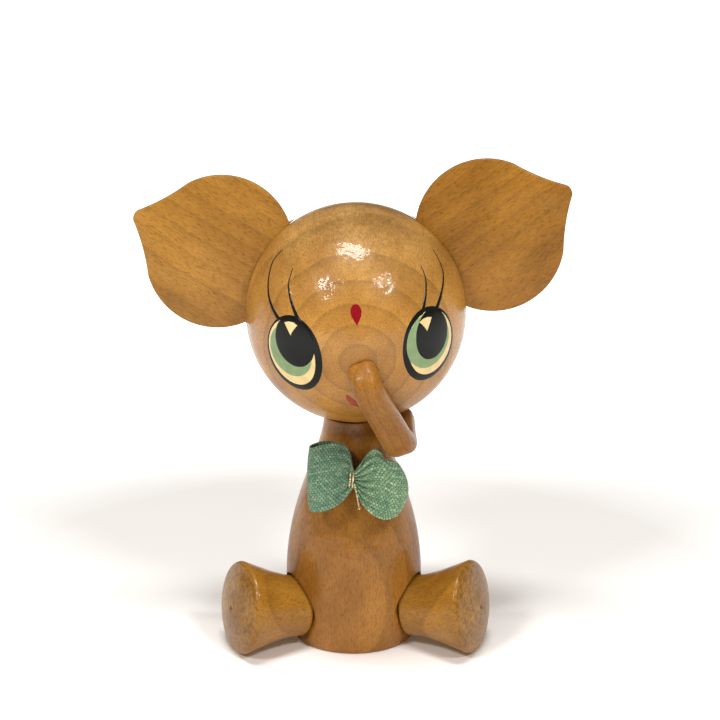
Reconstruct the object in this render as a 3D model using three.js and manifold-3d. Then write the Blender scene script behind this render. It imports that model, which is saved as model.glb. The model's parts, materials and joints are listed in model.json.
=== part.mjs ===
// A seated toy elephant in turned wood: a skittle-shaped body, a ball head on a peg, two
// veneer ears set in saw kerfs, a bent trunk that turns on its own round tenon, two flared
// legs on dowels, and a ribbon bow tied with gold wire on the chest.
// Millimetres, +Z up. The origin is the centre of the body's flat base, and the face looks
// along -Y, so the animal's left side is +X.
import * as THREE from "three";
import { mergeVertices } from "three/addons/utils/BufferGeometryUtils.js";
import Module from "manifold-3d";

const wasm = await Module();
wasm.setup();

// ---------------------------------------------------------------- driving dimensions
const RUN_GAP = 0.3; // clearance between pieces that touch or turn in each other

// body, turned on its own vertical axis
const BODY_HEIGHT = 43.2; // base to the rim of the neck
const BASE_RADIUS = 11.35;
const BASE_EDGE = 0.4; // small chamfer at the foot
const BELLY_RADIUS = 12.6;
const BELLY_HEIGHT = 11.7;
const BELLY_FULLNESS = 15.3; // how far up the belly stays wide
const NECK_RADIUS = 5.45;
const NECK_LENGTH = 7.4; // how far down the neck stays slim
const NECK_FLARE = 0.2;

// head, a turned ball
const HEAD_RADIUS = 20;
const HEAD_OFFSET = 0.43; // the ball's centre lies this far to the left of the peg
const FACE_ROLL = 4.2; // degrees: the face is glued a little crooked, its left side up

// the peg that joins head and body
const NECK_PEG_RADIUS = 2.5;
const NECK_PEG_IN_BODY = 9;
const NECK_PEG_IN_HEAD = 8;

// ears, leaf-shaped plates in saw kerfs, alike but for how they were set
const EAR_THICKNESS = 1.2;
const EAR_LOBE_RADIUS = 12.88;
const EAR_LOBE_SPREAD = 1.22; // how far each half-lobe's centre lies off the midrib
const EAR_LOBE_OUT = 7.4; // from the ball's surface to the lobes' centres
const EAR_TIP_OUT = 24.2; // from the ball's surface to the tip
const EAR_TIP_RADIUS = 1.7;
const EAR_FLANK_HOLLOW = 0.35; // how far the edge beside the tip dips inwards
const EAR_ROOT_DEPTH = 4.2; // how far the tongue goes into the ball
const EAR_SET_BACK = 1.0; // from the ball's widest plane to the middle of the plate
const EAR_RAKE = 6; // degrees: the tops lean back
const LEFT_EAR = { name: "left_ear", side: 1, lift: 25.8, proud: 0.5 };
const RIGHT_EAR = { name: "right_ear", side: -1, lift: 27.9, proud: -0.4 };

// trunk, a bent piece of rounded-square section with a round tenon
const TRUNK_WIDTH = 5.8; // across the face, at the curl
const TRUNK_ROOT_WIDTH = 5.3;
const TRUNK_TIP_WIDTH = 5;
const TRUNK_DEPTH = 4.4; // front to back
const TRUNK_CORNER = 1.5; // rounding of the section's corners
const TRUNK_DROP = 14.8; // degrees: how far below level the tenon points
const TRUNK_SWING = 2.8; // degrees: how far to the left the tenon points
const TRUNK_BROW_RADIUS = 2.65; // centre line of the first bend
const TRUNK_LEAN = 110; // degrees from the tenon's axis to the front leg
const TRUNK_CURL_RADIUS = 7.4; // centre line of the second bend
const TRUNK_CURL = 63; // degrees turned by the second bend
const TRUNK_TIP_LENGTH = 8.5; // straight end, under the chin
const TRUNK_TENON_RADIUS = 1.9;
const TRUNK_TENON_LENGTH = 7;
const TRUNK_LIFT = 0.1; // extra room between the bent piece and the ball, so it can turn
const TRUNK_WIDEST = 0.6; // part of the way along where the width is greatest
const TRUNK_SLIM = 0.8; // and where it has come down to the tip's width

// legs, turned like trumpet mouths, the sole outwards
const LEG_ROOT_HEIGHT = 5.25; // where the leg's axis crosses the body's axis
const LEG_LENGTH = 12.1; // root to the rim of the sole
const LEG_ROOT_RADIUS = 5.6;
const LEG_RIM_RADIUS = 8.6;
const LEG_WAIST_LENGTH = 4.6; // how far the slim part keeps its width
const LEG_BELL_LENGTH = 3.4; // how far the bell is nearly straight at the rim
const LEG_RIM_ROUND = 0.9;
const LEG_SOLE_DOME = 2.3; // from the widest part of the rim to the middle of the sole
// azimuth: degrees to the side of straight ahead; seatDepth: how deep the flat seat is cut
const LEFT_LEG = { name: "left_leg", side: 1, azimuth: 67.5, seatDepth: 1.2 };
const RIGHT_LEG = { name: "right_leg", side: -1, azimuth: 65.5, seatDepth: 1.8 };
const LEG_SEAT_MARGIN = 0.7; // the seat's radius beyond the leg's root
const LEG_DOWEL_RADIUS = 1.75;
const LEG_DOWEL_IN_BODY = 5;
const LEG_DOWEL_IN_LEG = 6;
const FLOOR_GAP = 0.05; // the rims stop just short of the ground

// bow, a ribbon folded into two loops and tied round the middle
const RIBBON_WIDTH = 12;
const BOW_CREST = 0.36; // of the ribbon's width: how far the left loop rises under the trunk
const BOW_SPAN = 18.3; // tip to tip
const BOW_ASKEW = 0.45; // the left loop is longer by twice this
const BOW_LOOP_DEPTH = 4.4; // front to back of a loop
const BOW_WAIST_HEIGHT = 2.8;
const BOW_WAIST_DEPTH = 2.4;
const WIRE_RADIUS = 0.3;
const WIRE_TURNS = 2;
const WIRE_PITCH = 0.66; // from one turn to the next, so the turns lie side by side
const WIRE_TAIL_FROM = 0.32; // part of the last turn after which the tail leaves it, low in front
const WIRE_TAIL_LENGTH = 4;

// facets
const ROUND = 56; // round pieces
const PEG_ROUND = 24; // dowels and their holes
const LEG_ROUND = 48; // with a point of the rim straight down, where the leg meets the ground

// ---------------------------------------------------------------- colours
const finish = (color, roughness, metalness = 0) =>
  new THREE.MeshStandardMaterial({ color, roughness, metalness });
const HONEY_WOOD = finish(0xb07a3e, 0.3);
const BODY_WOOD = finish(0xa86f3a, 0.35);
const EAR_WOOD = finish(0xb9813c, 0.4);
const TRUNK_WOOD = finish(0xa4713f, 0.35);
const LEG_WOOD = finish(0xa56a38, 0.35);
const PEG_WOOD = finish(0xc9a878, 0.7);
const GREEN_RIBBON = finish(0x5a9c80, 0.7);
const GOLD_WIRE = finish(0xc9b37a, 0.35, 1);

// ---------------------------------------------------------------- small helpers
const radians = THREE.MathUtils.degToRad;
const vec = (x, y, z) => new THREE.Vector3(x, y, z);

function toSolid(geometry) {
  const bare = geometry.clone();
  bare.deleteAttribute("normal");
  bare.deleteAttribute("uv");
  const merged = mergeVertices(bare, 1e-5);
  return new wasm.Manifold(
    new wasm.Mesh({
      numProp: 3,
      vertProperties: new Float32Array(merged.attributes.position.array),
      triVerts: new Uint32Array(merged.index.array),
    }),
  );
}

function toGeometry(solid) {
  const mesh = solid.getMesh();
  const geometry = new THREE.BufferGeometry();
  const points = new Float32Array(mesh.numVert * 3);
  for (let i = 0; i < mesh.numVert; i++) {
    for (let k = 0; k < 3; k++) points[3 * i + k] = mesh.vertProperties[mesh.numProp * i + k];
  }
  geometry.setAttribute("position", new THREE.BufferAttribute(points, 3));
  geometry.setIndex(new THREE.BufferAttribute(new Uint32Array(mesh.triVerts), 1));
  return geometry;
}

function named(name, geometry, material) {
  const mesh = new THREE.Mesh(geometry, material);
  mesh.name = name;
  return mesh;
}

// A solid of revolution about Z from a profile of (radius, height) points.
function turned(profile, segments = ROUND) {
  return new THREE.LatheGeometry(profile, segments).rotateX(Math.PI / 2);
}

// A plain cylinder from `start`, `length` long in the direction `axis`.
function rod(radius, length, start, axis, segments = PEG_ROUND) {
  const geometry = new THREE.CylinderGeometry(radius, radius, length, segments);
  geometry.translate(0, length / 2, 0);
  const turn = new THREE.Quaternion().setFromUnitVectors(vec(0, 1, 0), axis.clone().normalize());
  return geometry.applyQuaternion(turn).translate(start.x, start.y, start.z);
}

// A closed skin over rings of equal point counts, with a flat cap at each end.
function skinned(rings) {
  const count = rings[0].length;
  const middle = (ring) => ring.reduce((sum, p) => sum.add(p), vec(0, 0, 0)).divideScalar(count);
  const points = [...rings.flat(), middle(rings[0]), middle(rings.at(-1))];
  const first = points.length - 2;
  const last = points.length - 1;
  const lastRing = (rings.length - 1) * count;
  const index = [];
  for (let i = 0; i < count; i++) {
    const j = (i + 1) % count;
    for (let r = 0; r < rings.length - 1; r++) {
      const a = r * count;
      const b = a + count;
      index.push(a + i, a + j, b + j, a + i, b + j, b + i);
    }
    index.push(first, j, i, last, lastRing + i, lastRing + j);
  }
  const geometry = new THREE.BufferGeometry().setFromPoints(points);
  geometry.setIndex(index);
  return geometry;
}

// ---------------------------------------------------------------- places worked out from the sizes
const headCentreHeight =
  BODY_HEIGHT + Math.sqrt((HEAD_RADIUS + RUN_GAP) ** 2 - NECK_RADIUS ** 2);
const up = vec(0, 0, 1);
const faceTurn = new THREE.Quaternion().setFromAxisAngle(vec(0, 1, 0), -radians(FACE_ROLL));

// The body's outline from the base to the rim of the neck.
function bodyOutline() {
  const foot = new THREE.QuadraticBezierCurve(
    new THREE.Vector2(BASE_RADIUS, BASE_EDGE),
    new THREE.Vector2(BELLY_RADIUS, BELLY_HEIGHT / 2),
    new THREE.Vector2(BELLY_RADIUS, BELLY_HEIGHT),
  );
  const shoulder = new THREE.CubicBezierCurve(
    new THREE.Vector2(BELLY_RADIUS, BELLY_HEIGHT),
    new THREE.Vector2(BELLY_RADIUS, BELLY_HEIGHT + BELLY_FULLNESS),
    new THREE.Vector2(NECK_RADIUS + NECK_FLARE, BODY_HEIGHT - NECK_LENGTH),
    new THREE.Vector2(NECK_RADIUS, BODY_HEIGHT),
  );
  return [...foot.getPoints(5), ...shoulder.getPoints(15).slice(1)];
}

function bodyRadiusAt(height) {
  const outline = bodyOutline();
  const above = outline.findIndex((p) => p.y >= height);
  if (above <= 0) return above === 0 ? outline[0].x : NECK_RADIUS;
  const [low, high] = [outline[above - 1], outline[above]];
  return THREE.MathUtils.lerp(low.x, high.x, (height - low.y) / (high.y - low.y));
}

// A leg's axis rises just enough for the rim of its sole to reach the ground.
const legSeatDistance = (leg) => bodyRadiusAt(LEG_ROOT_HEIGHT) - leg.seatDepth;

function legAxis(leg) {
  const rimDistance = legSeatDistance(leg) + RUN_GAP + LEG_LENGTH;
  const rimReach = Math.hypot(LEG_RIM_RADIUS, rimDistance);
  const rise =
    Math.acos((LEG_ROOT_HEIGHT - FLOOR_GAP) / rimReach) - Math.atan2(rimDistance, LEG_RIM_RADIUS);
  const azimuth = radians(leg.azimuth);
  return vec(
    leg.side * Math.sin(azimuth) * Math.cos(rise),
    -Math.cos(azimuth) * Math.cos(rise),
    Math.sin(rise),
  );
}

const alongLeg = (leg, distance) =>
  vec(0, 0, LEG_ROOT_HEIGHT).addScaledVector(legAxis(leg), distance);

// ---------------------------------------------------------------- body
function bodyPiece() {
  const outline = bodyOutline();
  const profile = [
    new THREE.Vector2(0, 0),
    new THREE.Vector2(BASE_RADIUS - BASE_EDGE, 0),
    ...outline,
    new THREE.Vector2(0, BODY_HEIGHT),
  ];
  let body = toSolid(turned(profile));
  const ballSeat = new THREE.SphereGeometry(HEAD_RADIUS + RUN_GAP, ROUND, ROUND / 2);
  ballSeat.rotateX(Math.PI / 2).translate(0, 0, headCentreHeight); // centred, so the head can turn
  const pegHole = rod(
    NECK_PEG_RADIUS + RUN_GAP,
    NECK_PEG_IN_BODY + RUN_GAP + HEAD_RADIUS,
    vec(0, 0, neckPegFoot() - RUN_GAP),
    up,
  );
  body = body.subtract(toSolid(ballSeat)).subtract(toSolid(pegHole));
  for (const leg of [LEFT_LEG, RIGHT_LEG]) {
    const seatDistance = legSeatDistance(leg);
    const seat = rod(
      LEG_ROOT_RADIUS + LEG_SEAT_MARGIN,
      BELLY_RADIUS,
      alongLeg(leg, seatDistance),
      legAxis(leg),
      ROUND,
    );
    const hole = rod(
      LEG_DOWEL_RADIUS + RUN_GAP,
      LEG_DOWEL_IN_BODY + BELLY_RADIUS,
      alongLeg(leg, seatDistance - LEG_DOWEL_IN_BODY - RUN_GAP),
      legAxis(leg),
    );
    body = body.subtract(toSolid(seat)).subtract(toSolid(hole));
  }
  return named("body", toGeometry(body), BODY_WOOD);
}

// ---------------------------------------------------------------- neck peg
function neckSeatBottom() {
  return headCentreHeight - HEAD_RADIUS - RUN_GAP;
}

function neckPegFoot() {
  return neckSeatBottom() - NECK_PEG_IN_BODY;
}

function neckPeg() {
  const length = NECK_PEG_IN_BODY + RUN_GAP + NECK_PEG_IN_HEAD;
  return named("neck_dowel", rod(NECK_PEG_RADIUS, length, vec(0, 0, neckPegFoot()), up), PEG_WOOD);
}

// ---------------------------------------------------------------- legs
function legPiece(leg) {
  const bell = new THREE.CubicBezierCurve(
    new THREE.Vector2(LEG_ROOT_RADIUS, 0),
    new THREE.Vector2(LEG_ROOT_RADIUS, LEG_WAIST_LENGTH),
    new THREE.Vector2(LEG_RIM_RADIUS - LEG_BELL_LENGTH / 3, LEG_LENGTH - LEG_BELL_LENGTH),
    new THREE.Vector2(LEG_RIM_RADIUS, LEG_LENGTH),
  );
  const roundCentre = new THREE.Vector2(LEG_RIM_RADIUS - LEG_RIM_ROUND, LEG_LENGTH);
  const rim = [1, 2, 3].map((i) => {
    const a = (i * Math.PI) / 8;
    const onRim = new THREE.Vector2(Math.cos(a), Math.sin(a)).multiplyScalar(LEG_RIM_ROUND);
    return onRim.add(roundCentre);
  });
  const sole = new THREE.QuadraticBezierCurve(
    rim.at(-1),
    new THREE.Vector2(roundCentre.x / 2, LEG_LENGTH + LEG_SOLE_DOME),
    new THREE.Vector2(0, LEG_LENGTH + LEG_SOLE_DOME),
  );
  const profile = [
    new THREE.Vector2(0, 0),
    ...bell.getPoints(9),
    ...rim,
    ...sole.getPoints(5).slice(1),
  ];
  const hole = rod(
    LEG_DOWEL_RADIUS + RUN_GAP,
    2 * (LEG_DOWEL_IN_LEG + RUN_GAP),
    vec(0, 0, -LEG_DOWEL_IN_LEG - RUN_GAP),
    up,
  );
  const solid = toSolid(turned(profile, LEG_ROUND)).subtract(toSolid(hole));
  const mesh = named(leg.name, toGeometry(solid), LEG_WOOD);
  mesh.position.copy(alongLeg(leg, legSeatDistance(leg) + RUN_GAP));
  mesh.quaternion.copy(legTurn(leg));
  return mesh;
}

// Turns Z onto the leg's axis and keeps the leg's own X level, so its Y points down.
function legTurn(leg) {
  const axis = legAxis(leg);
  const level = new THREE.Vector3().crossVectors(axis, up).normalize();
  const across = new THREE.Vector3().crossVectors(axis, level);
  return new THREE.Quaternion().setFromRotationMatrix(
    new THREE.Matrix4().makeBasis(level, across, axis),
  );
}

function legDowel(leg) {
  const length = LEG_DOWEL_IN_BODY + RUN_GAP + LEG_DOWEL_IN_LEG;
  const start = alongLeg(leg, legSeatDistance(leg) - LEG_DOWEL_IN_BODY);
  const dowel = rod(LEG_DOWEL_RADIUS, length, start, legAxis(leg));
  return named(`${leg.name}_dowel`, dowel, PEG_WOOD);
}

// ---------------------------------------------------------------- ears
// Half of the leaf's edge, from the tongue to the tip, with the midrib along X from the ball's
// centre. The lobe is an arc, the flank dips a little, and the tip is a small arc.
function earHalfEdge() {
  const lobe = new THREE.Vector2(HEAD_RADIUS + EAR_LOBE_OUT, EAR_LOBE_SPREAD);
  const tip = new THREE.Vector2(HEAD_RADIUS + EAR_TIP_OUT - EAR_TIP_RADIUS, 0);
  const span = tip.clone().sub(lobe);
  const turnAway = Math.asin((EAR_LOBE_RADIUS - EAR_TIP_RADIUS) / span.length());
  const normal = span.angle() - 2 * Math.PI - turnAway + Math.PI / 2;
  const onLobe = (angle) =>
    new THREE.Vector2(Math.cos(angle), Math.sin(angle)).multiplyScalar(EAR_LOBE_RADIUS).add(lobe);
  const onTip = (angle) =>
    new THREE.Vector2(Math.cos(angle), Math.sin(angle)).multiplyScalar(EAR_TIP_RADIUS).add(tip);
  const tongueAngle = Math.acos(
    THREE.MathUtils.clamp((HEAD_RADIUS - EAR_ROOT_DEPTH - lobe.x) / EAR_LOBE_RADIUS, -1, 1),
  );
  const middle = onLobe(normal).add(onTip(normal)).multiplyScalar(0.5);
  const pull = new THREE.Vector2(Math.cos(normal), Math.sin(normal));
  middle.addScaledVector(pull, -2 * EAR_FLANK_HOLLOW);
  const flank = new THREE.QuadraticBezierCurve(onLobe(normal), middle, onTip(normal));
  const edge = [];
  const lobeSteps = 18;
  for (let i = 0; i < lobeSteps; i++) {
    edge.push(onLobe(THREE.MathUtils.lerp(tongueAngle, normal, i / lobeSteps)));
  }
  edge.push(...flank.getPoints(5));
  const tipSteps = 4;
  for (let i = 1; i <= tipSteps; i++) {
    edge.push(onTip(THREE.MathUtils.lerp(normal, 0, i / tipSteps)));
  }
  return edge;
}

// Half the ear's width where it comes out of the ball: the lobe's arc meets the ball's circle.
function earRootHalfWidth(ear) {
  const lobe = new THREE.Vector2(HEAD_RADIUS + EAR_LOBE_OUT + ear.proud, EAR_LOBE_SPREAD);
  const apart = lobe.length();
  const along = (HEAD_RADIUS ** 2 - EAR_LOBE_RADIUS ** 2 + apart ** 2) / (2 * apart);
  const across = Math.sqrt(HEAD_RADIUS ** 2 - along ** 2);
  return (along * lobe.y + across * lobe.x) / apart;
}

// Stands a drawing in X and Y upright in the ear's plane, in the head's own frame.
function earFrame(ear) {
  const lift = radians(ear.lift);
  const rake = radians(EAR_RAKE);
  const raise = vec(0, Math.sin(rake), Math.cos(rake));
  const level = vec(ear.side, 0, 0);
  const out = level.clone().multiplyScalar(Math.cos(lift)).addScaledVector(raise, Math.sin(lift));
  const across = raise.clone().multiplyScalar(Math.cos(lift));
  across.addScaledVector(level, -Math.sin(lift));
  const face = new THREE.Vector3().crossVectors(out, across);
  const frame = new THREE.Matrix4().makeBasis(out, across, face);
  return frame.setPosition(out.clone().multiplyScalar(ear.proud).add(vec(0, EAR_SET_BACK, 0)));
}

function earPiece(ear) {
  const half = earHalfEdge();
  const otherHalf = half.slice(0, -1).reverse();
  const outline = [...half, ...otherHalf.map((p) => new THREE.Vector2(p.x, -p.y))].reverse();
  const plate = new THREE.ExtrudeGeometry(new THREE.Shape(outline), {
    depth: EAR_THICKNESS,
    bevelEnabled: false,
    curveSegments: 1,
  });
  plate.translate(0, 0, -EAR_THICKNESS / 2).applyMatrix4(earFrame(ear));
  return named(ear.name, toGeometry(toSolid(plate)), EAR_WOOD);
}

function earKerf(ear) {
  const floor = HEAD_RADIUS - EAR_ROOT_DEPTH - RUN_GAP;
  const width = 2 * (earRootHalfWidth(ear) + RUN_GAP);
  const box = new THREE.BoxGeometry(HEAD_RADIUS, width, EAR_THICKNESS + 2 * RUN_GAP);
  return box.translate(floor + HEAD_RADIUS / 2, 0, 0).applyMatrix4(earFrame(ear));
}

// ---------------------------------------------------------------- trunk
// The trunk lies in one plane through the ball's centre. In that plane X runs out along the
// tenon and Y runs down the face. Both straight legs keep the same distance from the ball.
const trunkAxis = vec(
  Math.sin(radians(TRUNK_SWING)) * Math.cos(radians(TRUNK_DROP)),
  -Math.cos(radians(TRUNK_SWING)) * Math.cos(radians(TRUNK_DROP)),
  -Math.sin(radians(TRUNK_DROP)),
);
const trunkTrack = HEAD_RADIUS + RUN_GAP + TRUNK_DEPTH / 2 + TRUNK_LIFT;

// The tip rests beside the neck, so the trunk is turned aside by as much as that takes. The tip's
// section is tilted by the same angle, so the angle is found by a few repeated guesses.
function trunkTwist() {
  const flatAcross = TRUNK_TIP_WIDTH / 2 - TRUNK_CORNER;
  const flatDeep = TRUNK_DEPTH / 2 - TRUNK_CORNER;
  let tilt = 0;
  for (let guess = 0; guess < 6; guess++) {
    const halfTip = flatAcross * Math.cos(tilt) + flatDeep * Math.sin(tilt) + TRUNK_CORNER;
    const lowCorner = headCentreHeight - trunkTrack * Math.cos(tilt) - TRUNK_CORNER;
    const aside = bodyRadiusAt(lowCorner) + RUN_GAP + halfTip - HEAD_OFFSET;
    tilt = Math.asin(aside / trunkTrack);
  }
  return tilt - radians(FACE_ROLL);
}

// The centre line's points, each with the direction of travel and the width there.
function trunkLine() {
  const lean = radians(TRUNK_LEAN);
  const curl = radians(TRUNK_CURL);
  const browX =
    (trunkTrack - TRUNK_BROW_RADIUS * (1 - Math.cos(lean))) / Math.sin(lean);
  const stations = [];
  const add = (x, y, angle) => stations.push({ x, y, angle });
  add(HEAD_RADIUS - TRUNK_DEPTH / 2, 0, 0);
  const arc = (centreX, centreY, radius, from, to, steps) => {
    for (let i = 0; i <= steps; i++) {
      const a = THREE.MathUtils.lerp(from, to, i / steps);
      add(centreX + radius * Math.sin(a), centreY - radius * Math.cos(a), a);
    }
  };
  arc(browX, TRUNK_BROW_RADIUS, TRUNK_BROW_RADIUS, 0, lean, 8);
  const inset = trunkTrack - TRUNK_CURL_RADIUS;
  const corner = lean + curl / 2;
  const reach = inset / Math.cos(curl / 2);
  arc(
    reach * Math.sin(corner),
    -reach * Math.cos(corner),
    TRUNK_CURL_RADIUS,
    lean,
    lean + curl,
    10,
  );
  const end = stations.at(-1);
  const tipSteps = 5; // the last stations round the tip off
  const tipX = (along) => end.x + along * Math.cos(end.angle);
  const tipY = (along) => end.y + along * Math.sin(end.angle);
  const roundLength = TRUNK_CORNER;
  const straight = TRUNK_TIP_LENGTH - roundLength;
  for (let i = 0; i < tipSteps; i++) {
    const a = (i / tipSteps) * (Math.PI / 2);
    stations.push({
      x: tipX(straight + roundLength * Math.sin(a)),
      y: tipY(straight + roundLength * Math.sin(a)),
      angle: end.angle,
      shrink: roundLength * (1 - Math.cos(a)),
    });
  }
  return stations;
}

// A rounded rectangle as a closed ring of points, `wide` across and `deep` front to back.
function roundedSection(wide, deep, corner) {
  const ring = [];
  const cornerSteps = 4;
  for (let quarter = 0; quarter < 4; quarter++) {
    const signX = quarter === 0 || quarter === 3 ? 1 : -1;
    const signY = quarter < 2 ? 1 : -1;
    for (let i = 0; i <= cornerSteps; i++) {
      const a = (quarter + i / cornerSteps) * (Math.PI / 2);
      ring.push([
        signX * (wide / 2 - corner) + corner * Math.cos(a),
        signY * (deep / 2 - corner) + corner * Math.sin(a),
      ]);
    }
  }
  return ring;
}

function trunkPlane() {
  const downFace = vec(0, 0, -1);
  downFace.addScaledVector(trunkAxis, -downFace.dot(trunkAxis)).normalize();
  const down = downFace.applyAxisAngle(trunkAxis, trunkTwist());
  const side = new THREE.Vector3().crossVectors(trunkAxis, down);
  return { down, side };
}

// The trunk widens from its root to the curl and narrows again to the tip.
function trunkWidthAt(along) {
  if (along < TRUNK_WIDEST) {
    return THREE.MathUtils.lerp(TRUNK_ROOT_WIDTH, TRUNK_WIDTH, along / TRUNK_WIDEST);
  }
  const narrowing = Math.min(1, (along - TRUNK_WIDEST) / (TRUNK_SLIM - TRUNK_WIDEST));
  return THREE.MathUtils.lerp(TRUNK_WIDTH, TRUNK_TIP_WIDTH, narrowing);
}

function trunkPiece() {
  const { down, side } = trunkPlane();
  const stations = trunkLine();
  const rings = stations.map(({ x, y, angle, shrink = 0 }, i) => {
    const wide = trunkWidthAt(i / (stations.length - 1)) - 2 * shrink;
    const deep = TRUNK_DEPTH - 2 * shrink;
    const corner = Math.max(0.1, Math.min(TRUNK_CORNER - shrink, wide / 2, deep / 2) * 0.98);
    const centre = trunkAxis.clone().multiplyScalar(x).addScaledVector(down, y);
    const outward = trunkAxis.clone().multiplyScalar(Math.sin(angle));
    outward.addScaledVector(down, -Math.cos(angle));
    return roundedSection(wide, deep, corner).map(([across, through]) =>
      centre.clone().addScaledVector(side, across).addScaledVector(outward, through),
    );
  });
  const tenonFoot = trunkAxis.clone().multiplyScalar(HEAD_RADIUS - TRUNK_TENON_LENGTH);
  const ball = new THREE.SphereGeometry(HEAD_RADIUS + RUN_GAP, 2 * ROUND, ROUND);
  const trunk = toSolid(skinned(rings))
    .subtract(toSolid(ball))
    .add(toSolid(rod(TRUNK_TENON_RADIUS, TRUNK_TENON_LENGTH + 1, tenonFoot, trunkAxis)));
  return named("trunk", toGeometry(trunk), TRUNK_WOOD);
}

function trunkHole() {
  const foot = trunkAxis.clone().multiplyScalar(HEAD_RADIUS - TRUNK_TENON_LENGTH - RUN_GAP);
  return rod(TRUNK_TENON_RADIUS + RUN_GAP, 2 * TRUNK_TENON_LENGTH, foot, trunkAxis);
}

// ---------------------------------------------------------------- head
// The ball in the face's own frame, so the neck hole is turned back upright.
function headPiece() {
  const ball = new THREE.SphereGeometry(HEAD_RADIUS, ROUND, ROUND / 2).rotateX(Math.PI / 2);
  const intoFace = faceTurn.clone().invert();
  const neckDown = vec(0, 0, -1).applyQuaternion(intoFace);
  const pegTop = HEAD_RADIUS - NECK_PEG_IN_HEAD - RUN_GAP;
  const holeTop = vec(-HEAD_OFFSET, 0, -pegTop).applyQuaternion(intoFace);
  const neckHole = rod(NECK_PEG_RADIUS + RUN_GAP, HEAD_RADIUS, holeTop, neckDown);
  let head = toSolid(ball).subtract(toSolid(neckHole)).subtract(toSolid(trunkHole()));
  for (const ear of [LEFT_EAR, RIGHT_EAR]) head = head.subtract(toSolid(earKerf(ear)));
  return named("head", toGeometry(head), HONEY_WOOD);
}

// ---------------------------------------------------------------- bow
// The bow's own frame: X across, Y up along the chest, Z out of the chest.
const trunkUnderside = headCentreHeight - trunkTrack - TRUNK_DEPTH / 2;
const bowHeight = trunkUnderside - RUN_GAP - BOW_CREST * RIBBON_WIDTH;

function chestLean() {
  const rise = RIBBON_WIDTH;
  const drop = bodyRadiusAt(bowHeight - rise / 2) - bodyRadiusAt(bowHeight + rise / 2);
  return Math.atan2(drop, rise);
}

const bowBackGap = 2 * RUN_GAP + 2 * WIRE_RADIUS; // the wire passes behind the ribbon

function ribbonPiece() {
  const leftSpan = BOW_SPAN / 2 + BOW_ASKEW;
  const rightSpan = BOW_SPAN / 2 - BOW_ASKEW;
  const puff = BOW_LOOP_DEPTH / 2;
  const waist = (WIRE_TURNS * WIRE_PITCH) / 2 + WIRE_RADIUS;
  // across, middle height, half height, half depth: the loops sit a little askew
  const stations = [
    [-rightSpan, 1.4, RIBBON_WIDTH * 0.36, puff * 0.6],
    [-rightSpan * 0.82, 1.3, RIBBON_WIDTH * 0.51, puff],
    [-rightSpan * 0.5, 1.6, RIBBON_WIDTH * 0.46, puff],
    [-rightSpan * 0.24, 1.2, RIBBON_WIDTH * 0.33, puff * 0.75],
    [-waist, 0, BOW_WAIST_HEIGHT / 2, BOW_WAIST_DEPTH / 2],
    [waist, 0, BOW_WAIST_HEIGHT / 2, BOW_WAIST_DEPTH / 2],
    [leftSpan * 0.24, -0.2, RIBBON_WIDTH * 0.36, puff * 0.75],
    [leftSpan * 0.44, -0.3, RIBBON_WIDTH * 0.45, puff],
    [leftSpan * 0.74, -1.2, RIBBON_WIDTH * 0.4, puff],
    [leftSpan, -0.6, RIBBON_WIDTH * 0.24, puff * 0.6],
  ];
  const rings = stations.map(([x, middle, half, deep]) => {
    const corner = Math.min(half, deep) * 0.9;
    return roundedSection(2 * half, 2 * deep, corner).map(([along, through]) =>
      vec(x, middle + along, through),
    );
  });
  const ribbon = toSolid(skinned(rings));
  return named("bow_ribbon", toGeometry(ribbon), GREEN_RIBBON);
}

// A wire of round section along a closed or open run of points.
function wire(points, closed) {
  const curve = new THREE.CatmullRomCurve3(points, closed);
  const steps = points.length * 2;
  const frames = curve.computeFrenetFrames(steps, closed);
  const sides = 8;
  const rings = [];
  for (let i = 0; i < steps + (closed ? 0 : 1); i++) {
    const centre = curve.getPointAt(i / steps);
    const ring = [];
    for (let k = 0; k < sides; k++) {
      const a = (k / sides) * 2 * Math.PI;
      ring.push(
        centre
          .clone()
          .addScaledVector(frames.normals[i], WIRE_RADIUS * Math.cos(a))
          .addScaledVector(frames.binormals[i], WIRE_RADIUS * Math.sin(a)),
      );
    }
    rings.push(ring);
  }
  return rings;
}

function wireTie() {
  const half = BOW_WAIST_HEIGHT / 2 + RUN_GAP + WIRE_RADIUS;
  const deep = BOW_WAIST_DEPTH / 2 + RUN_GAP + WIRE_RADIUS;
  const turnPoints = 10;
  const span = WIRE_PITCH * WIRE_TURNS;
  const run = [];
  for (let i = 0; i <= WIRE_TURNS * turnPoints; i++) {
    const a = (i / turnPoints) * 2 * Math.PI;
    const x = -span / 2 + (i / (WIRE_TURNS * turnPoints)) * span;
    run.push(vec(x, half * Math.cos(a), deep * Math.sin(a)));
  }
  const coil = toSolid(skinned(wire(run, false)));
  const leaving = WIRE_TAIL_FROM * 2 * Math.PI;
  const tailX = WIRE_PITCH * (WIRE_TURNS / 2 - 1 + WIRE_TAIL_FROM);
  const tail = [
    vec(tailX, half * Math.cos(leaving), deep * Math.sin(leaving)),
    vec(tailX + WIRE_RADIUS, -half - 2 * WIRE_RADIUS, deep),
    vec(tailX + 2 * WIRE_RADIUS, -half - WIRE_TAIL_LENGTH / 2, deep + 4 * WIRE_RADIUS),
    vec(tailX + 3 * WIRE_RADIUS, -half - WIRE_TAIL_LENGTH, deep + 5 * WIRE_RADIUS),
  ];
  return coil.add(toSolid(skinned(wire(tail, false))));
}

function bow() {
  const group = new THREE.Group();
  const lean = chestLean();
  const outward = bowBackGap + RUN_GAP + BOW_WAIST_DEPTH / 2;
  group.position.set(
    0,
    -bodyRadiusAt(bowHeight) - outward * Math.cos(lean),
    bowHeight + outward * Math.sin(lean),
  );
  group.rotation.x = Math.PI / 2 - lean;
  group.add(ribbonPiece());
  group.add(named("bow_wire", toGeometry(wireTie()), GOLD_WIRE));
  return group;
}

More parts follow.
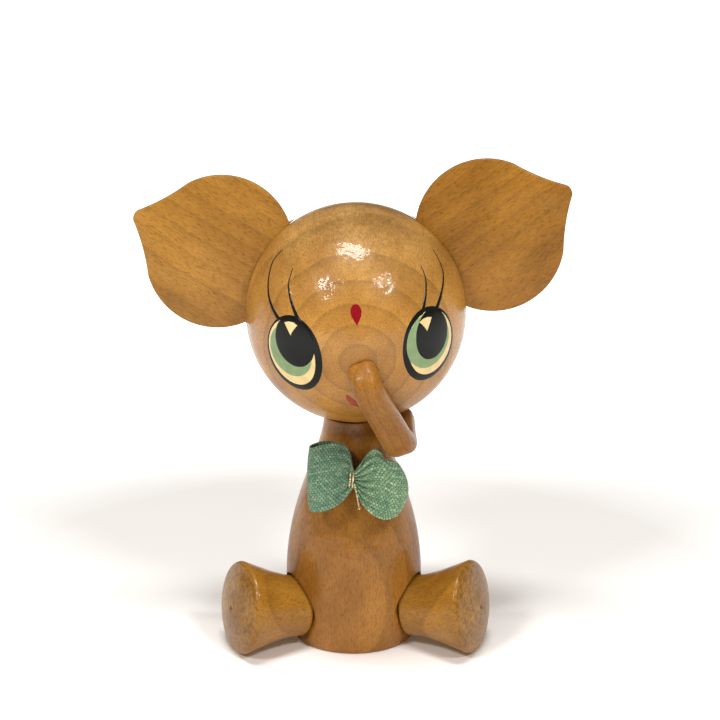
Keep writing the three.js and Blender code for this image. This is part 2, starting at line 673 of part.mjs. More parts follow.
// ---------------------------------------------------------------- the whole animal
function headGroup() {
  const group = new THREE.Group();
  group.position.set(HEAD_OFFSET, 0, headCentreHeight);
  group.quaternion.copy(faceTurn);
  group.add(headPiece(), earPiece(LEFT_EAR), earPiece(RIGHT_EAR), trunkPiece());
  return group;
}

const elephant = new THREE.Group();
elephant.add(bodyPiece(), neckPeg(), headGroup(), bow());
for (const leg of [LEFT_LEG, RIGHT_LEG]) elephant.add(legPiece(leg), legDowel(leg));

export default elephant;
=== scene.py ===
# %% [markdown]
# # A seated elephant in turned wood
# The real object is a small souvenir: a turned body and a ball head, two veneer ears, a bent
# trunk, two flared legs, a painted face and a ribbon bow tied with gold thread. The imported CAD
# model is the frame. Each piece here is a finer version of one CAD piece and rides on its body.

# %%
# Load the frame
import json
import math

import bmesh
import bpy
from mathutils import Matrix, Vector

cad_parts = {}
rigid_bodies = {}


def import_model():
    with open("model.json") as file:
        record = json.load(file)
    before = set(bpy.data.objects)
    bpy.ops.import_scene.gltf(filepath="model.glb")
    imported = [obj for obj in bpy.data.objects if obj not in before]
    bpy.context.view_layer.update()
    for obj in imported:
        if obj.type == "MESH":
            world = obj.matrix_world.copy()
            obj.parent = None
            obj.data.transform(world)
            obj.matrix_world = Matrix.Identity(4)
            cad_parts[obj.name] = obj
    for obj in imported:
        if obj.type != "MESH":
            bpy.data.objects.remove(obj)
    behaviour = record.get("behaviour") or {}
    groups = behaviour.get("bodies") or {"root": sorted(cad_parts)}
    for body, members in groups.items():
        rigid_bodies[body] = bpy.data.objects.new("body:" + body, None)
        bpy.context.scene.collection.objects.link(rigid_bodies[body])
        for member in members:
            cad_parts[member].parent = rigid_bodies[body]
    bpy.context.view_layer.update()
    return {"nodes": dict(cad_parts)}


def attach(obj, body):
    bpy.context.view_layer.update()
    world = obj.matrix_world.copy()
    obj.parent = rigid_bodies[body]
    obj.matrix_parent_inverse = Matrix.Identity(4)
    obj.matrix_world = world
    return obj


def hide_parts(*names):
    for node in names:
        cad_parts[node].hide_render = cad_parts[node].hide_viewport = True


for leftover in list(bpy.data.objects):  # the scene starts empty
    bpy.data.objects.remove(leftover)
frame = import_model()
MM = 0.001
TURN = 2 * math.pi

# %% [markdown]
# ## Camera, floor and light
# The figure is seen from a little above with a long lens, which keeps it free of distortion.
# A small wooden toy looks best in a white studio: one wide softbox overhead and two smaller
# ones in front give the three soft highlights that show how glossy the lacquer is.

# %%
# Camera
CAMERA_PLACE = Vector((1.16, -455.0, 204.96)) * MM
CAMERA_DOWN = 18.40  # degrees below level
camera = bpy.data.objects.new("camera", bpy.data.cameras.new("camera"))
bpy.context.scene.collection.objects.link(camera)
camera.location = CAMERA_PLACE
camera.rotation_euler = (math.radians(90 - CAMERA_DOWN), 0, 0)
camera.data.lens = 131.29
camera.data.clip_start = 0.01
camera.data.clip_end = 20
bpy.context.scene.camera = camera
print("camera is", round(CAMERA_PLACE.length / MM), "mm away")

# %%
# Softboxes, each given by its direction from the head, its size and its power
HEAD_HEIGHT = 62.755 * MM


def softbox(name, direction, distance, size, power, colour=(1, 1, 1)):
    lamp = bpy.data.lights.new(name, "AREA")
    lamp.shape = "RECTANGLE"
    lamp.size, lamp.size_y = size
    lamp.energy = power
    lamp.color = colour
    holder = bpy.data.objects.new(name, lamp)
    bpy.context.scene.collection.objects.link(holder)
    out = Vector(direction).normalized()
    holder.location = Vector((0, 0, HEAD_HEIGHT)) + out * distance
    holder.rotation_euler = out.to_track_quat("Z", "Y").to_euler()


softbox("overhead_softbox", (-0.04, -0.14, 0.99), 0.70, (0.30, 0.13), 3.7, (1, 0.99, 0.97))
softbox("front_left_softbox", (-0.51, -0.56, 0.66), 0.75, (0.13, 0.11), 2.15)
softbox("front_right_softbox", (0.43, -0.60, 0.68), 0.75, (0.13, 0.11), 2.15)
world = bpy.data.worlds.new("studio")
bpy.context.scene.world = world
world.use_nodes = True
world.node_tree.nodes["Background"].inputs["Color"].default_value = (1, 0.99, 0.98, 1)
world.node_tree.nodes["Background"].inputs["Strength"].default_value = 0.10
bpy.context.scene.view_settings.view_transform = "Standard"

# %% [markdown]
# ## Small helpers
# An operator acts on everything that is selected, so each piece starts with an empty
# selection. A finished piece sits at the origin with its place in its mesh, as CAD nodes do.

# %%
# Selection, modifiers and places


def only(piece=None):
    if bpy.context.object and bpy.context.object.mode != "OBJECT":
        bpy.ops.object.mode_set(mode="OBJECT")
    bpy.ops.object.select_all(action="DESELECT")
    if piece:
        piece.select_set(True)
        bpy.context.view_layer.objects.active = piece


def edit(piece):
    only(piece)
    bpy.ops.object.mode_set(mode="EDIT")
    bpy.ops.mesh.select_all(action="SELECT")


def modify(piece, kind, **settings):
    only(piece)
    modifier = piece.modifiers.new(kind.lower(), kind)
    for key, value in settings.items():
        setattr(modifier, key, value)
    bpy.ops.object.modifier_apply(modifier=modifier.name)


def placed(piece, matrix=Matrix.Identity(4)):
    piece.data.transform(matrix @ piece.matrix_basis)
    piece.matrix_basis = Matrix.Identity(4)
    piece.data.update()
    return piece


def smooth(piece, angle=35):
    only(piece)
    bpy.ops.object.shade_smooth_by_angle(angle=math.radians(angle))


def tidy_mesh(piece):
    edit(piece)
    bpy.ops.mesh.remove_doubles(threshold=1e-7)
    bpy.ops.mesh.normals_make_consistent(inside=False)
    only(piece)


def report(piece):
    low = [min(v.co[k] for v in piece.data.vertices) / MM for k in range(3)]
    high = [max(v.co[k] for v in piece.data.vertices) / MM for k in range(3)]
    faces = len(piece.data.polygons)
    print(piece.name, faces, "faces", [round(x, 1) for x in low], [round(x, 1) for x in high])


def finished(piece, material, body, stands_for=()):
    piece.data.materials.clear()
    piece.data.materials.append(material)
    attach(piece, body)
    if stands_for:
        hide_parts(*stands_for)
    report(piece)


# %% [markdown]
# ## Lacquered wood
# All the wood is one pale species under clear gloss lacquer. What changes from piece to piece
# is which way the grain runs. So one recipe takes the direction of the grain: growth rings lie
# round that axis, and fine fibres and dark pores are noise that is stretched along it. The
# lacquer is the shader's coat, and its slight waviness breaks up the highlights.

# %%
# Node helpers


def new_material(name):
    material = bpy.data.materials.new(name)
    material.use_nodes = True
    return material, material.node_tree


def node(tree, kind, **inputs):
    made = tree.nodes.new(kind)
    for key, value in inputs.items():
        socket = made.inputs[key.replace("_", " ")]
        if isinstance(value, bpy.types.NodeSocket):
            tree.links.new(value, socket)
        else:
            socket.default_value = value
    return made


def ramp(tree, factor, *stops):
    made = tree.nodes.new("ShaderNodeValToRGB")
    tree.links.new(factor, made.inputs["Fac"])
    band = made.color_ramp
    while len(band.elements) < len(stops):
        band.elements.new(0.5)
    for element, (place, colour) in zip(band.elements, stops):
        element.position = place
        element.color = (*colour, 1) if len(colour) == 3 else colour
    return made.outputs["Color"]


def grey(value):
    return (value, value, value)


def mixed(tree, a, b, factor=1.0, blend="MULTIPLY"):
    made = tree.nodes.new("ShaderNodeMix")
    made.data_type = "RGBA"
    made.blend_type = blend
    for index, value in ((0, factor), (6, a), (7, b)):
        if isinstance(value, bpy.types.NodeSocket):
            tree.links.new(value, made.inputs[index])
        else:
            made.inputs[index].default_value = value if index == 0 else (*value, 1)
    return made.outputs[2]


# %%
# The wood recipe
RING_UNIT = TURN / 20  # a ring wave of scale 1 repeats at this distance


def wood(name, dark, light, centre=(0, 0, 0), turn=(0, 0, 0), ring=3.2, contrast=1.0,
         shade=None, gloss=0.32, attribute=None):
    material, tree = new_material(name)
    shader = tree.nodes["Principled BSDF"]
    if attribute:
        source = node(tree, "ShaderNodeAttribute")
        source.attribute_name = attribute
        where = source.outputs["Vector"]
    else:
        where = node(tree, "ShaderNodeTexCoord").outputs["Object"]
    centred = node(tree, "ShaderNodeMapping", Vector=where, Rotation=turn)
    centred.vector_type = "TEXTURE"
    centred.inputs["Location"].default_value = centre
    grain = centred.outputs["Vector"]
    rings = node(tree, "ShaderNodeTexWave", Vector=grain, Scale=RING_UNIT / (ring * MM),
                 Distortion=1.3, Detail=2.0, Detail_Scale=0.8)
    rings.wave_type, rings.rings_direction, rings.wave_profile = "RINGS", "Z", "SAW"
    along = node(tree, "ShaderNodeMapping", Vector=grain, Scale=(1, 1, 0.22)).outputs[0]
    broad = node(tree, "ShaderNodeMapping", Vector=grain, Scale=(1, 1, 0.5)).outputs[0]
    fibre = node(tree, "ShaderNodeTexNoise", Vector=along, Scale=3400.0, Detail=4.0,
                 Roughness=0.6).outputs["Fac"]
    pores = node(tree, "ShaderNodeTexNoise", Vector=along, Scale=5200.0, Detail=2.0,
                 Roughness=0.5).outputs["Fac"]
    cloud = node(tree, "ShaderNodeTexNoise", Vector=broad, Scale=120.0, Detail=3.0,
                 Roughness=0.55).outputs["Fac"]
    base = ramp(tree, cloud, (0.30, dark), (0.70, light))
    ring_tone = ramp(tree, rings.outputs["Fac"], (0.0, grey(1.0)),
                     (0.72, grey(1 - 0.10 * contrast)), (0.93, grey(1 - 0.26 * contrast)),
                     (1.0, grey(1.0)))
    fibre_tone = ramp(tree, fibre, (0.34, grey(0.80)), (0.60, grey(1.10)))
    pore_tone = ramp(tree, pores, (0.34, (0.52, 0.46, 0.40)), (0.44, grey(1.0)))
    colour = mixed(tree, base, ring_tone)
    colour = mixed(tree, colour, fibre_tone, 0.8)
    colour = mixed(tree, colour, pore_tone, 0.7)
    if shade:
        colour = shade(tree, colour)
    tree.links.new(colour, shader.inputs["Base Color"])
    rough = ramp(tree, fibre, (0.3, grey(0.46)), (0.7, grey(0.34)))
    tree.links.new(rough, shader.inputs["Roughness"])
    wavy = node(tree, "ShaderNodeTexNoise", Vector=grain, Scale=330.0, Detail=3.0).outputs["Fac"]
    fine = node(tree, "ShaderNodeBump", Height=fibre, Distance=0.00003, Strength=0.35)
    lacquer = node(tree, "ShaderNodeBump", Height=wavy, Distance=0.00040, Strength=0.75,
                   Normal=fine.outputs[0])
    tree.links.new(fine.outputs[0], shader.inputs["Normal"])
    tree.links.new(lacquer.outputs[0], shader.inputs["Coat Normal"])
    shader.inputs["Coat Weight"].default_value = gloss
    shader.inputs["Coat Roughness"].default_value = 0.11
    shader.inputs["Specular IOR Level"].default_value = 0.18
    return material


def toward(direction):
    """The Euler angles that turn Z onto a direction."""
    return tuple(Vector(direction).to_track_quat("Z", "Y").to_euler())


# %% [markdown]
# The head's grain runs from front to back, so the face shows end grain: arcs of growth rings
# round a point just above the trunk. Its top is painted greyer and cooler: a painted sheen where
# the overhead light falls on it.

# %%
# One material for each kind of piece
HEAD_OFFSET = 0.43 * MM
FACE_ROLL = math.radians(4.2)
head_place = Matrix.Translation((HEAD_OFFSET, 0, HEAD_HEIGHT)) @ Matrix.Rotation(
    -FACE_ROLL, 4, "Y")


def painted_sheen_top(tree, colour):
    # Painted sheen: towards the top the colour turns greyer and cooler, standing in for the overhead light
    where = node(tree, "ShaderNodeTexCoord").outputs["Object"]
    height = node(tree, "ShaderNodeSeparateXYZ", Vector=where).outputs["Z"]
    share = node(tree, "ShaderNodeMapRange", Value=height, From_Min=0.066, From_Max=0.083)
    speck = node(tree, "ShaderNodeTexNoise", Vector=where, Scale=900.0, Detail=3.0)
    tone = ramp(tree, speck.outputs["Fac"], (0.35, (0.78, 0.94, 1.5)), (0.65, (1.04, 1.20, 2.1)))
    return mixed(tree, colour, mixed(tree, colour, tone), share.outputs[0], "MIX")


head_wood = wood("head_wood", (0.36, 0.15, 0.022), (0.54, 0.255, 0.045),
                 centre=(0.0008, -0.018, 0.0600), turn=toward((0, -0.99, -0.12)), ring=3.4,
                 contrast=1.0, shade=painted_sheen_top, gloss=0.45)
body_wood = wood("body_wood", (0.284, 0.107, 0.014), (0.456, 0.193, 0.029),
                 centre=(0.004, 0.016, 0), turn=(0.03, 0.02, 0), ring=3.0, contrast=0.8)
left_ear_wood = wood("left_ear_wood", (0.245, 0.097, 0.009), (0.377, 0.164, 0.020),
                     centre=(0.030, 0.006, 0.07), turn=toward((0.82, 0.03, 0.57)), ring=2.6,
                     contrast=0.7, gloss=0.12)
right_ear_wood = wood("right_ear_wood", (0.289, 0.124, 0.016), (0.443, 0.209, 0.034),
                      centre=(-0.028, 0.006, 0.06), turn=toward((-0.86, 0.03, 0.50)), ring=3.0,
                      contrast=0.7, gloss=0.12)
trunk_wood = wood("trunk_wood", (0.258, 0.098, 0.013), (0.402, 0.168, 0.024), ring=1.7,
                  centre=(0.004, 0.006, 0), contrast=0.8, attribute="along_trunk", gloss=0.12)

# %% [markdown]
# ## Turned pieces
# On a lathe one outline makes the whole piece. In Blender the same is a spin: a single vertex
# is extruded along the outline, and the line is spun round its axis. Doubles at the poles are
# then merged, and the normals made to point outwards.

# %%
# Turning


def turned(name, outline, steps=144):
    only()
    bpy.ops.mesh.primitive_plane_add(size=MM)
    piece = bpy.context.object
    piece.name = name
    edit(piece)
    bpy.ops.mesh.merge(type="CENTER")
    bpy.ops.transform.translate(value=(outline[0][0], 0, outline[0][1]))
    for (r0, z0), (r1, z1) in zip(outline, outline[1:]):
        bpy.ops.mesh.extrude_region_move(
            TRANSFORM_OT_translate={"value": (r1 - r0, 0, z1 - z0)})
    bpy.ops.mesh.select_all(action="SELECT")
    bpy.ops.mesh.spin(steps=steps, angle=TURN, center=(0, 0, 0), axis=(0, 0, 1))
    tidy_mesh(piece)
    return placed(piece)


def bezier(points, steps):
    """Points along a quadratic or cubic Bezier, in mm, returned in metres."""
    made = []
    for i in range(steps + 1):
        level, t = [Vector(p) for p in points], i / steps
        while len(level) > 1:
            level = [a.lerp(b, t) for a, b in zip(level, level[1:])]
        made.append((level[0][0] * MM, level[0][1] * MM))
    return made


def cutter(name, radius, depth, start, axis):
    """A round milling cutter or drill, standing on `start` and going out along `axis`."""
    only()
    bpy.ops.mesh.primitive_cylinder_add(vertices=96, radius=radius, depth=depth,
                                        location=(0, 0, depth / 2))
    tool = bpy.context.object
    tool.name = name
    turn = Vector(axis).to_track_quat("Z", "Y").to_matrix().to_4x4()
    return placed(tool, Matrix.Translation(start) @ turn)


def cut(piece, tool, operation="DIFFERENCE"):
    modify(piece, "BOOLEAN", object=tool, operation=operation, solver="EXACT")
    bpy.data.objects.remove(tool)


# %% [markdown]
# The body is a skittle that stands on its flat base. Each leg sits on a flat seat milled into
# its side, and the pale ring of that seat shows round the leg's root, so the seats are cut for
# real. The top is hollowed to take the ball, and a hole takes the peg.

# %%
# Body
BODY_HEIGHT, NECK_RADIUS, BELLY_RADIUS, BELLY_HEIGHT = 43.2, 5.45, 12.6, 11.7
RUN_GAP = 0.3 * MM
HEAD_RADIUS = 20 * MM
foot = bezier([(11.35, 0.4), (BELLY_RADIUS, BELLY_HEIGHT / 2), (BELLY_RADIUS, BELLY_HEIGHT)], 12)
shoulder = bezier([(BELLY_RADIUS, BELLY_HEIGHT), (BELLY_RADIUS, 27.0), (5.65, 35.8),
                   (NECK_RADIUS, BODY_HEIGHT)], 40)
body = turned("turned_body", [(0, 0), (10.9 * MM, 0), (11.2 * MM, 0.12 * MM), *foot,
                              *shoulder[1:], (0, BODY_HEIGHT * MM)])
only()
bpy.ops.mesh.primitive_uv_sphere_add(segments=128, ring_count=64, radius=HEAD_RADIUS + RUN_GAP,
                                     location=(0, 0, HEAD_HEIGHT))
cut(body, placed(bpy.context.object))
PEG_RADIUS, PEG_FOOT = 2.5 * MM, HEAD_HEIGHT - HEAD_RADIUS - RUN_GAP - 9 * MM
cut(body, cutter("peg_drill", PEG_RADIUS + RUN_GAP, 0.02, (0, 0, PEG_FOOT - RUN_GAP), (0, 0, 1)))

# %%
# Leg seats, one side after the other
LEG_ROOT_HEIGHT, LEG_ROOT_RADIUS, LEG_LENGTH = 5.25 * MM, 5.6 * MM, 12.1 * MM
legs = {
    "left_leg": {"axis": Vector((0.91457, -0.37883, 0.14161)), "seat": 10.997 * MM},
    "right_leg": {"axis": Vector((-0.90032, -0.41030, 0.14515)), "seat": 10.397 * MM},
}
leg_centre = Vector((0, 0, LEG_ROOT_HEIGHT))
for leg in legs.values():
    axis, seat = leg["axis"], leg["seat"]
    cut(body, cutter("seat_mill", LEG_ROOT_RADIUS + 0.7 * MM, 0.0126, leg_centre + axis * seat,
                     axis))
    cut(body, cutter("leg_drill", 2.05 * MM, 0.02, leg_centre + axis * (seat - 5.3 * MM), axis))
modify(body, "BEVEL", width=0.10 * MM, segments=2, limit_method="ANGLE",
       angle_limit=math.radians(40))
smooth(body, 30)
finished(body, body_wood, "torso", ["body"])

# %% [markdown]
# The legs are turned like little trumpets and set on their dowels with the bell outwards. The
# sole is domed. The darker, speckled end grain of the sole comes with the material, which is
# turned with each leg so that its grain runs along the leg.

# %%
# Legs
leg_outline = [(0, 0), *bezier([(4.9, 0.0), (5.6, 0.0), (5.6, 0.5)], 5),
               *bezier([(5.6, 0.5), (5.6, 4.6), (7.467, 8.7), (8.6, 12.1)], 28)[1:]]
for i in range(1, 7):
    angle = i * math.pi / 16
    leg_outline.append(((7.7 + 0.9 * math.cos(angle)) * MM, (12.1 + 0.9 * math.sin(angle)) * MM))
rim_end = (leg_outline[-1][0] / MM, leg_outline[-1][1] / MM)
leg_outline += bezier([rim_end, (3.85, 14.4), (0.45, 14.4)], 14)[1:]
leg_outline += [(0.3 * MM, 14.28 * MM), (0, 14.22 * MM)]  # the mark of the lathe's centre


def darker_sole(tree, colour, axis, rim):
    where = node(tree, "ShaderNodeTexCoord").outputs["Object"]
    reach = tree.nodes.new("ShaderNodeVectorMath")
    reach.operation = "DOT_PRODUCT"
    tree.links.new(where, reach.inputs[0])
    reach.inputs[1].default_value = axis
    share = node(tree, "ShaderNodeMapRange", Value=reach.outputs["Value"],
                 From_Min=rim, From_Max=rim + 0.7 * MM)
    speck = node(tree, "ShaderNodeTexNoise", Vector=where, Scale=1300.0, Detail=4.0)
    tone = ramp(tree, speck.outputs["Fac"], (0.36, (0.66, 0.66, 0.70)), (0.62, (1.05, 1.08, 1.25)))
    return mixed(tree, colour, mixed(tree, colour, tone), share.outputs[0], "MIX")


for name, leg in legs.items():
    axis, root = leg["axis"], leg["seat"] + RUN_GAP
    piece = turned("turned_" + name, leg_outline)
    drill = cutter("dowel_drill", 2.05 * MM, 0.0126, (0, 0, -6.3 * MM), (0, 0, 1))
    cut(piece, drill)
    turn = axis.to_track_quat("Z", "Y").to_matrix().to_4x4()
    placed(piece, Matrix.Translation(leg_centre + axis * root) @ turn)
    smooth(piece, 40)
    rim = leg_centre.dot(axis) + root + LEG_LENGTH
    side = 1 if axis.x > 0 else -1
    leg_wood = wood(name + "_wood", (0.285, 0.118, 0.012), (0.478, 0.218, 0.027), ring=2.9,
                    centre=tuple(leg_centre + Vector((0, 2.0 * side * MM, 1.5 * MM))),
                    turn=toward(axis), contrast=0.9,
                    shade=lambda tree, colour, a=axis, r=rim: darker_sole(tree, colour, a, r))
    finished(piece, leg_wood, "torso", [name])

# %% [markdown]
# The dowels are hidden inside. Their CAD shape is right, so they keep it and only get bare wood.

# %%
# Dowels
bare_wood = wood("bare_wood", (0.50, 0.33, 0.16), (0.66, 0.47, 0.26), gloss=0.0, ring=1.5)
for name in ("neck_dowel", "left_leg_dowel", "right_leg_dowel"):
    dowel = frame["nodes"][name]
    dowel.data.materials.clear()
    dowel.data.materials.append(bare_wood)

# %% [markdown]
# ## Head
# A turned ball. The ears stand in saw kerfs and the trunk's tenon in a drilled hole, so those
# are cut before anything is painted.

# %%
# Ear frames: X runs out along the midrib, Y across the leaf, Z towards the back
EAR_THICKNESS, EAR_RAKE, EAR_SET_BACK = 1.2, math.radians(6), 1.0
ears = {
    "left_ear": {"side": 1, "lift": 25.8, "proud": 0.5, "wood": left_ear_wood},
    "right_ear": {"side": -1, "lift": 27.9, "proud": -0.4, "wood": right_ear_wood},
}


def ear_frame(side, lift, proud, **_):
    lift = math.radians(lift)
    level, rise = Vector((side, 0, 0)), Vector((0, math.sin(EAR_RAKE), math.cos(EAR_RAKE)))
    out = level * math.cos(lift) + rise * math.sin(lift)
    across = rise * math.cos(lift) - level * math.sin(lift)
    face = out.cross(across)
    origin = (out * proud + Vector((0, EAR_SET_BACK, 0))) * MM
    columns = Matrix((out, across, face)).transposed().to_4x4()
    return head_place @ Matrix.Translation(origin) @ columns


# %%
# The ball with its kerfs and holes
only()
bpy.ops.mesh.primitive_uv_sphere_add(segments=192, ring_count=96, radius=HEAD_RADIUS)
head = bpy.context.object
head.name = "ball_head"
placed(head, head_place)
for ear in ears.values():
    only()
    bpy.ops.mesh.primitive_cube_add(size=1, location=(25.5 * MM, 0, 0),
                                    scale=(20 * MM, 25.3 * MM, (EAR_THICKNESS + 0.5) * MM))
    cut(head, placed(bpy.context.object, ear_frame(**ear)))
TRUNK_DROP, TRUNK_SWING = math.radians(14.8), math.radians(2.8)
trunk_out = Vector((math.sin(TRUNK_SWING) * math.cos(TRUNK_DROP),
                    -math.cos(TRUNK_SWING) * math.cos(TRUNK_DROP), -math.sin(TRUNK_DROP)))
turn_head = head_place.to_3x3()
tenon_axis = turn_head @ trunk_out
ball_centre = head_place.translation
cut(head, cutter("tenon_drill", 2.2 * MM, 0.014, ball_centre + tenon_axis * 12.7 * MM,
                 tenon_axis))
cut(head, cutter("peg_drill", PEG_RADIUS + RUN_GAP, 0.02,
                 (0, 0, HEAD_HEIGHT - 11.7 * MM), (0, 0, -1)))
smooth(head, 30)
finished(head, head_wood, "head_group", ["head"])

# %% [markdown]
# ## Ears
# Each ear is a leaf cut from 1.2 mm veneer. Its edge is a wide arc, a flank that dips a little
# and a small round tip. A circle primitive is put on that line, filled, given its thickness by
# an extrude, and its sanded edge is rounded by a bevel.

# %%
# The leaf's edge, as half of a symmetrical outline
LOBE_RADIUS, LOBE_SPREAD, LOBE_OUT = 12.88, 1.22, 7.4
TIP_OUT, TIP_RADIUS, FLANK_HOLLOW, ROOT_DEPTH = 24.2, 1.7, 0.35, 4.2


def leaf_half():
    lobe = Vector((20 + LOBE_OUT, LOBE_SPREAD))
    tip = Vector((20 + TIP_OUT - TIP_RADIUS, 0))
    span = tip - lobe
    heading = math.atan2(span.y, span.x)
    normal = heading - math.asin((LOBE_RADIUS - TIP_RADIUS) / span.length) + math.pi / 2
    arc = lambda centre, radius, a: centre + Vector((math.cos(a), math.sin(a))) * radius
    root = math.acos((20 - ROOT_DEPTH - lobe.x) / LOBE_RADIUS)
    edge = [arc(lobe, LOBE_RADIUS, root + (normal - root) * i / 40) for i in range(40)]
    first, last = arc(lobe, LOBE_RADIUS, normal), arc(tip, TIP_RADIUS, normal)
    pull = Vector((math.cos(normal), math.sin(normal))) * FLANK_HOLLOW * 2
    middle = (first + last) / 2 - pull
    for i in range(13):
        t = i / 12
        edge.append(first.lerp(middle, t).lerp(middle.lerp(last, t), t))
    return edge + [arc(tip, TIP_RADIUS, normal * (1 - i / 10)) for i in range(1, 11)]


# %%
# Both ears
half = leaf_half()
leaf = half + [Vector((p.x, -p.y)) for p in reversed(half[:-1])]
for name, ear in ears.items():
    only()
    bpy.ops.mesh.primitive_circle_add(vertices=len(leaf), radius=MM)
    plate = bpy.context.object
    plate.name = "veneer_" + name
    for vertex, point in zip(plate.data.vertices, leaf):
        vertex.co = (point.x * MM, point.y * MM, -EAR_THICKNESS / 2 * MM)
    edit(plate)
    bpy.ops.mesh.edge_face_add()
    bpy.ops.mesh.extrude_region_move(
        TRANSFORM_OT_translate={"value": (0, 0, EAR_THICKNESS * MM)})
    tidy_mesh(plate)
    modify(plate, "BEVEL", width=0.26 * MM, segments=4, limit_method="ANGLE",
           angle_limit=math.radians(50))
    placed(plate, ear_frame(**ear))
    tidy_mesh(plate)
    smooth(plate, 40)
    finished(plate, ear["wood"], "head_group", [name])

# %% [markdown]
# ## Trunk
# The trunk is one piece of rounded square stock, steamed and bent twice. That is just how it
# is modelled: a square with rounded corners is extruded straight, spun round the first bend,
# extruded, spun round the second, and extruded to its tip. Spin turns clockwise about its axis, so
# a bend the other way takes a negative angle. The ball is then cut out of its
# root, and the round tenon joined on.

# %%
# Trunk sizes, in the plane of the bends: X out along the tenon, Y down the face
TRUNK_WIDE, TRUNK_DEEP, TRUNK_CORNER = 5.8, 4.4, 1.9
BROW_BEND, CURL_BEND = 2.65, 7.4
LEAN, CURL = math.radians(110), math.radians(63)
TRACK = 20 + 0.3 + TRUNK_DEEP / 2 + 0.1
TRUNK_TWIST = math.radians(17.604)
brow_x = (TRACK - BROW_BEND * (1 - math.cos(LEAN))) / math.sin(LEAN)
reach = (TRACK - CURL_BEND) / math.cos(CURL / 2)
corner = LEAN + CURL / 2
curl_centre = Vector((reach * math.sin(corner), -reach * math.cos(corner), 0)) * MM
brow_end = Vector((brow_x + BROW_BEND * math.sin(LEAN), BROW_BEND * (1 - math.cos(LEAN)), 0)) * MM
curl_start = curl_centre + Vector((math.sin(LEAN), -math.cos(LEAN), 0)) * CURL_BEND * MM
front_leg = curl_start - brow_end
tip_heading = Vector((math.cos(LEAN + CURL), math.sin(LEAN + CURL), 0))
print("front leg of the trunk is", round(front_leg.length / MM, 2), "mm")

# %%
# Bending the stock
only()
bpy.ops.mesh.primitive_plane_add(size=1, rotation=(0, math.pi / 2, 0))
trunk = bpy.context.object
trunk.name = "bent_trunk"
placed(trunk)
for vertex in trunk.data.vertices:
    vertex.co = (vertex.co.x, vertex.co.y * TRUNK_DEEP * MM, vertex.co.z * TRUNK_WIDE * MM)
edit(trunk)
bpy.ops.transform.translate(value=((20 - TRUNK_DEEP / 2) * MM, 0, 0))
bpy.ops.mesh.bevel(offset=TRUNK_CORNER * MM, segments=7, affect="VERTICES")
push = lambda way: bpy.ops.mesh.extrude_region_move(TRANSFORM_OT_translate={"value": way})
for _ in range(4):
    push(((brow_x - 20 + TRUNK_DEEP / 2) * MM / 4, 0, 0))
bpy.ops.mesh.spin(steps=16, angle=-LEAN, center=(brow_x * MM, BROW_BEND * MM, 0), axis=(0, 0, 1))
for _ in range(12):
    push(tuple(front_leg / 12))
bpy.ops.mesh.spin(steps=20, angle=-CURL, center=tuple(curl_centre), axis=(0, 0, 1))
for _ in range(6):
    push(tuple(tip_heading * 8.5 * MM / 6))
bpy.ops.mesh.bevel(offset=1.2 * MM, segments=5, affect="EDGES")
tidy_mesh(trunk)
report(trunk)

# %%
# Its width, the way its grain follows the bends, and the root and tenon
for vertex in trunk.data.vertices:
    x, y, z = vertex.co
    share = min(1, max(0, math.atan2(y, x) / math.radians(80)))
    wide = 5.3 + 0.5 * share / 0.6 if share < 0.6 else 5.8 - 0.8 * min(1, (share - 0.6) / 0.2)
    vertex.co.z = z * wide / TRUNK_WIDE
only()
bpy.ops.mesh.primitive_uv_sphere_add(segments=160, ring_count=80, radius=HEAD_RADIUS + 0.2 * MM)
cut(trunk, placed(bpy.context.object))
tenon = cutter("tenon", 1.9 * MM, 8 * MM, (13 * MM, 0, 0), (1, 0, 0))
cut(trunk, tenon, "UNION")
grain = trunk.data.attributes.new("along_trunk", "FLOAT_VECTOR", "POINT")
for vertex in trunk.data.vertices:
    x, y, z = vertex.co
    away = math.hypot(x, y) - TRACK * MM
    grain.data[vertex.index].vector = (away, z, math.atan2(y, x) * TRACK * MM)
down = Vector((0, 0, -1))
down = (down - trunk_out * down.dot(trunk_out)).normalized()
down = Matrix.Rotation(TRUNK_TWIST, 3, trunk_out) @ down
bend_plane = Matrix((trunk_out, down, trunk_out.cross(down))).transposed().to_4x4()
placed(trunk, head_place @ bend_plane)
smooth(trunk, 50)
finished(trunk, trunk_wood, "trunk_body", ["trunk"])

# %% [markdown]
# ## Painted face
# The face is brushed on in enamel: a black oval, a cream oval inside it, a green iris and a
# black pupil, then lashes, a red drop and a mouth. Enamel stands a few hundredths of a
# millimetre proud with a rounded edge. Each spot of paint is a disc of rings that is laid on
# the ball, so that it has a real edge to catch the light.

# %%
# Enamel colours


def enamel(name, colour, roughness=0.18):
    material, tree = new_material(name)
    shader = tree.nodes["Principled BSDF"]
    where = node(tree, "ShaderNodeTexCoord").outputs["Object"]
    strokes = node(tree, "ShaderNodeTexNoise", Vector=where, Scale=700.0, Detail=3.0)
    darker = tuple(c * 0.86 for c in colour)
    tone = ramp(tree, strokes.outputs["Fac"], (0.35, darker), (0.65, colour))
    tree.links.new(tone, shader.inputs["Base Color"])
    bump = node(tree, "ShaderNodeBump", Height=strokes.outputs["Fac"], Distance=0.00004,
                Strength=0.3)
    tree.links.new(bump.outputs[0], shader.inputs["Normal"])
    shader.inputs["Roughness"].default_value = roughness
    shader.inputs["Specular IOR Level"].default_value = 0.12
    shader.inputs["Coat Weight"].default_value = 0.06
    shader.inputs["Coat Roughness"].default_value = 0.08
    return material


black = enamel("black_enamel", (0.009, 0.010, 0.008))
cream = enamel("cream_enamel", (0.86, 0.64, 0.30))
green = enamel("green_enamel", (0.26, 0.36, 0.17))
crimson = enamel("crimson_enamel", (0.26, 0.007, 0.012))
brick = enamel("brick_enamel", (0.34, 0.060, 0.026))
scratch_white = enamel("bare_scratch", (0.80, 0.68, 0.50), 0.6)


# %%
# Where paint goes: azimuth to the figure's left and height above the ball's middle, in degrees


